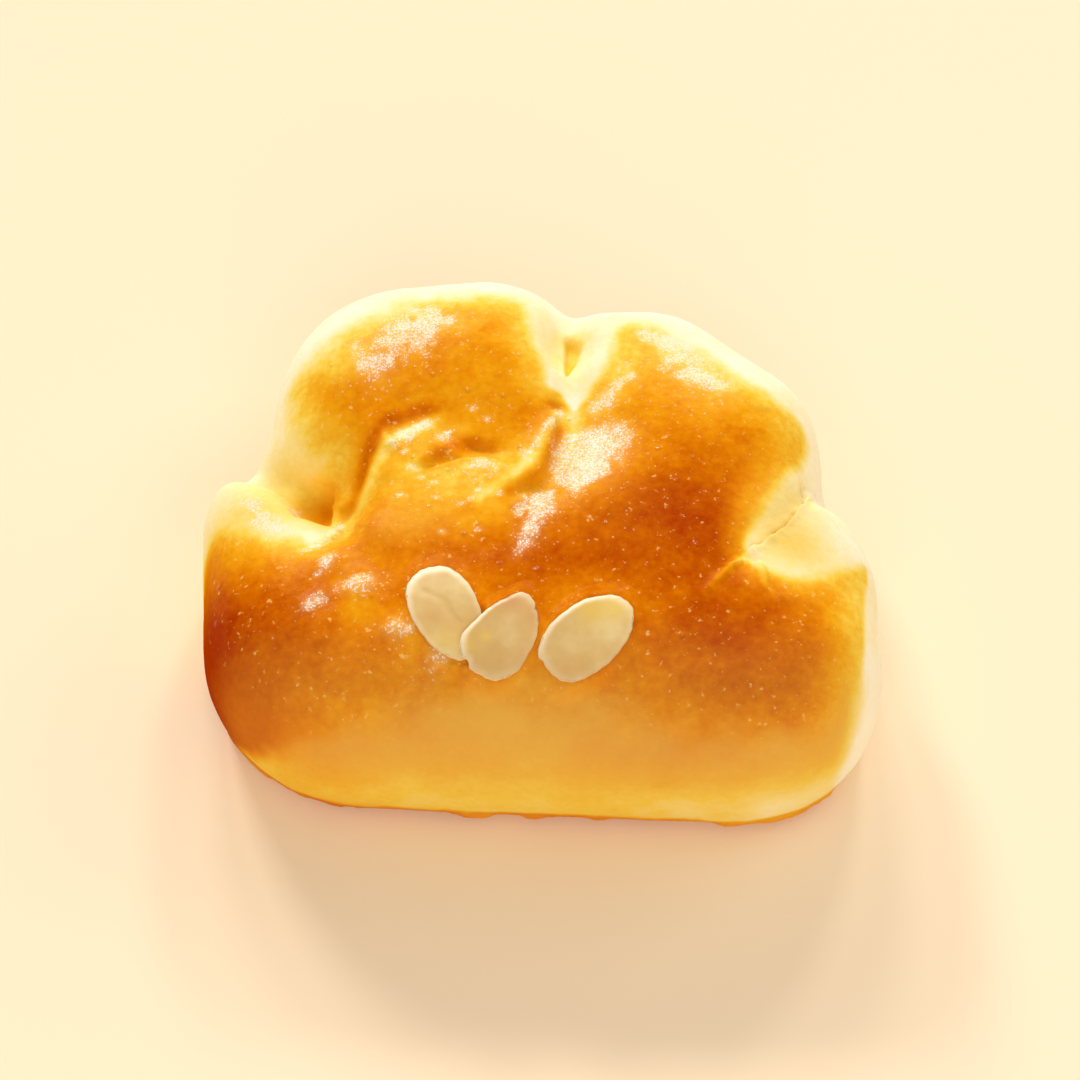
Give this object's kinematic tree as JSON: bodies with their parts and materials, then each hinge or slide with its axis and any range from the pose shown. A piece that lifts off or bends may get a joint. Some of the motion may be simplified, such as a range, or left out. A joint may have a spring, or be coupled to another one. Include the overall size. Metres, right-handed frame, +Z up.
{
  "type": "custard bun",
  "caption": "Folded milk-bread custard bun with cuts in its back rim, a wrinkled glazed crust browned on top and pale at the flanks, and almond slices lying on its front fold.",
  "frame": {"origin": "middle of the bun's footprint box, on the surface it rests on", "axes": "+X to the right along the straight folded front, +Y to the cut back rim, +Z up"},
  "size_m": [0.1188, 0.106, 0.0385],
  "materials": {
    "glazed_crust": "egg-washed and baked, satin to glossy",
    "sliced_almond": "blanched and sliced, satin"
  },
  "bodies": {
    "root": {"crust": "glazed_crust", "almond_left": "sliced_almond", "almond_middle": "sliced_almond", "almond_right": "sliced_almond"}
  },
  "joints": []
}
